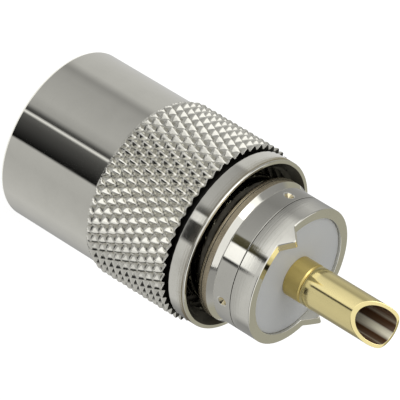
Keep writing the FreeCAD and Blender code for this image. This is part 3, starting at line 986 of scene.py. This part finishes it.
def card_material(name, zones):
    """Studio card that glows in greys by the first number of its own map.

    Each zone is its end on the map's second number and the ramp's stops up to
    there, as pairs of an angle in degrees and a grey.
    """
    material = bpy.data.materials.new(name)
    material.use_nodes = True
    tree = material.node_tree
    tree.nodes.remove(tree.nodes["Principled BSDF"])
    place = tree.nodes.new("ShaderNodeUVMap")
    parts = add_node(tree, "ShaderNodeSeparateXYZ", Vector=place.outputs["UV"])
    colour, last_end = None, None
    for end, soft, stops in zones:
        ramp = grey_ramp(tree, parts.outputs["X"], stops, -180, 180)
        if colour is None:
            colour = ramp
        else:
            past = add_node(tree, "ShaderNodeMapRange", Value=parts.outputs["Y"], From_Min=last_end - soft,
                            From_Max=last_end + soft)
            mix = tree.nodes.new("ShaderNodeMix")
            mix.data_type = "RGBA"
            tree.links.new(past.outputs["Result"], mix.inputs["Factor"])
            tree.links.new(colour, mix.inputs["A"])
            tree.links.new(ramp, mix.inputs["B"])
            colour = mix.outputs["Result"]
        last_end = end
    glow = add_node(tree, "ShaderNodeEmission", Color=colour)
    tree.links.new(glow.outputs[0], tree.nodes["Material Output"].inputs["Surface"])
    return material


def build_card(name, points, shape, first, second, material):
    """Card through a grid of points in millimetres, seen in reflections only, mapped by its two numbers."""
    rows, columns = shape
    index = np.arange(rows * columns).reshape(shape)
    quads = np.stack([index[:-1, :-1], index[:-1, 1:], index[1:, 1:], index[1:, :-1]], -1).reshape(-1, 4)
    mesh = bpy.data.meshes.new(name)
    mesh.from_pydata(points.reshape(-1, 3) * MM, [], quads)
    corner = quads.ravel()
    layer = mesh.uv_layers.new(name="UVMap")
    layer.data.foreach_set("uv", np.stack([first.ravel()[corner], second.ravel()[corner]], -1)
                           .astype(np.float32).ravel())
    mesh.materials.append(material)
    card = bpy.data.objects.new(name, mesh)
    bpy.context.scene.collection.objects.link(card)
    card.visible_camera = False
    card.visible_diffuse = False
    card.visible_shadow = False


def build_board():
    """Card on the floor that the plug's sides reflect.

    It is swept by level lines that leave the side at angle phi in the direction
    2 * phi, which is where that side reflects a camera in front of the plug.
    Its map gives phi in degrees and the reach along the line in millimetres.
    A zone is its end on the reach, the softness of its start, and its stops.
    """
    skirt = ((-88, 0.60), (-74, 0.62), (-46, 0.56), (-40, 0.32), (-34, 0.41), (-12, 0.50), (-5, 0.40),
             (-3.2, 0.12), (-1.4, 0.05), (-1.0, 1.0), (0.3, 1.0), (0.9, 0.14), (5, 0.08), (12, 0.03),
             (17.0, 0.004), (17.6, 0.54), (30, 0.50), (58, 0.62), (68, 0.54), (80, 0.40))
    knurl = ((-86, 0.5), (-40, 0.55), (-18, 0.46), (16, 0.50), (40, 0.55), (86, 0.5))
    collar = ((-86, 0.7), (-70, 0.72), (-44, 0.66), (-41, 0.36), (-34, 0.42), (-8, 0.52), (-5, 0.12),
              (-2, 0.05), (-1.4, 1.0), (3.0, 1.0), (4.0, 0.02), (16.5, 0.01), (17.4, 0.70), (30, 0.61),
              (60, 0.62), (70, 0.32), (80, 0.2))
    flange = ((-80, (0.30, 0.27, 0.19)), (-30, (0.22, 0.19, 0.12)), (10, (0.07, 0.06, 0.04)),
              (30, (0.16, 0.13, 0.08)), (60, (0.24, 0.21, 0.14)), (80, (0.12, 0.10, 0.07)))
    barrel = ((-86, 0.40), (-70, 0.33), (-40, 0.25), (-34, 0.29), (-10, 0.38), (-4, 0.42),
              (-3, (0.10, 0.09, 0.05)), (3, (0.05, 0.045, 0.02)), (4, 1.3), (16.0, 1.2), (16.4, 0.01),
              (18.2, 0.01), (18.8, 0.49), (55, 0.46), (68, 0.4), (80, 0.3))
    pin = ((-80, 0.35), (-58, 0.55), (-42, 0.40), (-34, 0.75), (-6, 1.0), (-1, 0.95), (0.5, 0.04),
           (4, 0.04), (6, 0.62), (30, 0.66), (58, 0.60), (66, 0.3), (80, 0.3))
    phi = np.linspace(-88, 88, 177)[None, :]
    reach = np.linspace(0.15, BOARD_REACH, 60)[:, None]
    a = np.radians(phi)
    x = SKIRT_R * np.sin(a) + reach * np.sin(2 * a)
    y = -SKIRT_R * np.cos(a) - reach * np.cos(2 * a)
    first, second = np.broadcast_to(phi, x.shape), np.broadcast_to(reach, x.shape)
    points = np.stack([x, y, np.full_like(x, BOARD_Z)], axis=-1)
    zones = ((19.7, 0, skirt), (37.9, 0.2, knurl), (41.55, 0.2, collar), (43.15, 0.1, flange),
             (51.9, 0.15, barrel), (BOARD_REACH, 0.3, pin))
    build_card("floor_card", points, x.shape, first, second, card_material("Floor card", zones))


def build_wall():
    """Round card around the plug whose greys the knurl's points and the front faces reflect.

    Its map gives the angle from the camera's side in degrees, positive towards
    -X, and the height in millimetres.
    """
    olive = (0.42, 0.41, 0.34)
    stops = ((-178, olive), (-125, olive), (-112, 0.45), (-95, 0.36), (-66, 0.34), (-60, 0.02), (-32, 0.02),
             (-22, 0.85), (4, 0.95), (18, 1.3), (74, 1.3), (80, 0.36), (118, 0.30), (128, olive),
             (178, olive))
    angle = np.linspace(-180, 180, 181)[None, :]
    height = np.linspace(0.5, WALL_TOP_Z, 6)[:, None]
    a = np.radians(angle)
    x = -WALL_R * np.sin(a) + 0 * height
    y = -WALL_R * np.cos(a) + 0 * height
    first, second = np.broadcast_to(angle, x.shape), np.broadcast_to(height, x.shape)
    points = np.stack([x, y, second], axis=-1)
    zones = ((WALL_TOP_Z, 0, stops),)
    build_card("wall_card", points, x.shape, first, second, card_material("Wall card", zones))


def build_camera(settings):
    """Camera at the photograph's viewing angle.

    Its axes follow from the plug's turn in the picture and the camera's rise,
    and its place from the barrel's rim centre in its view, in millimetres to
    the right, down and ahead.
    """
    psi, tau = settings.turn, settings.rise
    right = Vector((-math.sin(psi), math.sin(tau) * math.cos(psi), math.cos(tau) * math.cos(psi)))
    up = -Vector((math.cos(psi), math.sin(tau) * math.sin(psi), math.cos(tau) * math.sin(psi)))
    back = Vector((0, -math.cos(tau), math.sin(tau)))
    place = Vector((0, 0, RIM_Z)) - right * RIM_RIGHT + up * RIM_DOWN + back * RIM_AHEAD
    data = bpy.data.cameras.new("Camera")
    data.lens = settings.lens
    data.sensor_width = SENSOR_WIDTH
    data.clip_start = 0.01
    data.clip_end = 20.0
    camera = bpy.data.objects.new("Camera", data)
    bpy.context.scene.collection.objects.link(camera)
    camera.matrix_world = Matrix((
        (right.x, up.x, back.x, place.x * MM), (right.y, up.y, back.y, place.y * MM),
        (right.z, up.z, back.z, place.z * MM), (0, 0, 0, 1)))
    bpy.context.scene.camera = camera


def build_lamp(name, place, target, size, power):
    """Square area lamp at a place in metres, turned to a target."""
    data = bpy.data.lights.new(name, "AREA")
    data.size = size
    data.energy = power
    lamp = bpy.data.objects.new(name, data)
    lamp.location = place
    lamp.rotation_mode = "QUATERNION"
    lamp.rotation_quaternion = (Vector(target) - Vector(place)).to_track_quat("-Z", "Y")
    bpy.context.scene.collection.objects.link(lamp)


class PLUG_OT_studio(bpy.types.Operator):
    """Build the floor, the surroundings, the lamp, the reflection cards and the camera"""
    bl_idname = "plug.studio"
    bl_label = "Studio"

    def execute(self, context):
        settings = context.scene.plug_studio
        context.scene.view_settings.view_transform = "Standard"
        half, level = FLOOR_HALF * MM, FLOOR_Z * MM
        mesh = bpy.data.meshes.new("floor")
        mesh.from_pydata([(-half, -half, level), (half, -half, level), (half, half, level),
                          (-half, half, level)], [], [(0, 1, 2, 3)])
        mesh.materials.append(floor_material(tuple(settings.floor)))
        ground = bpy.data.objects.new("floor", mesh)
        context.scene.collection.objects.link(ground)
        build_world(settings.sky)
        build_lamp("Soft lamp", settings.lamp_place, (0, 0, 0.02), settings.lamp_size, settings.lamp_power)
        build_board()
        build_wall()
        build_camera(settings)
        return {"FINISHED"}


class PLUG_PT_panel(bpy.types.Panel):
    """Lists the operators and sizes of the coaxial plug"""
    bl_label = "Coaxial Plug"
    bl_idname = "PLUG_PT_panel"
    bl_space_type = "VIEW_3D"
    bl_region_type = "UI"
    bl_category = "Coaxial Plug"

    def draw(self, context):
        layout = self.layout
        for operator, group in PANEL_ROWS:
            layout.operator(operator)
            if group:
                column = layout.column()
                settings = getattr(context.scene, group)
                for name in settings.bl_rna.properties.keys():
                    if name not in ("rna_type", "name"):
                        column.prop(settings, name)


PANEL_ROWS = (("plug.coupling_nut", "plug_nut"), ("plug.plug_body", "plug_body"),
              ("plug.centre_contact", "plug_contact"), ("plug.insulator", "plug_finish"),
              ("plug.studio", "plug_studio"))
CLASSES = (CouplingNutSizes, PlugBodySizes, ContactSizes, FinishSettings, StudioSettings,
           PLUG_OT_coupling_nut, PLUG_OT_plug_body, PLUG_OT_centre_contact, PLUG_OT_insulator,
           PLUG_OT_studio, PLUG_PT_panel)
GROUPS = {"plug_nut": CouplingNutSizes, "plug_body": PlugBodySizes, "plug_contact": ContactSizes,
          "plug_finish": FinishSettings, "plug_studio": StudioSettings}


def register():
    """Registers the classes and puts their settings on the scene."""
    for cls in CLASSES:
        bpy.utils.register_class(cls)
    for name, group in GROUPS.items():
        setattr(bpy.types.Scene, name, PointerProperty(type=group))


def unregister():
    """Takes the settings and classes away again."""
    for name in GROUPS:
        delattr(bpy.types.Scene, name)
    for cls in reversed(CLASSES):
        bpy.utils.unregister_class(cls)


def main():
    """Builds every piece and the studio."""
    register()
    bpy.ops.plug.coupling_nut()
    bpy.ops.plug.plug_body()
    bpy.ops.plug.centre_contact()
    bpy.ops.plug.insulator()
    bpy.ops.plug.studio()


if __name__ == "__main__":
    main()
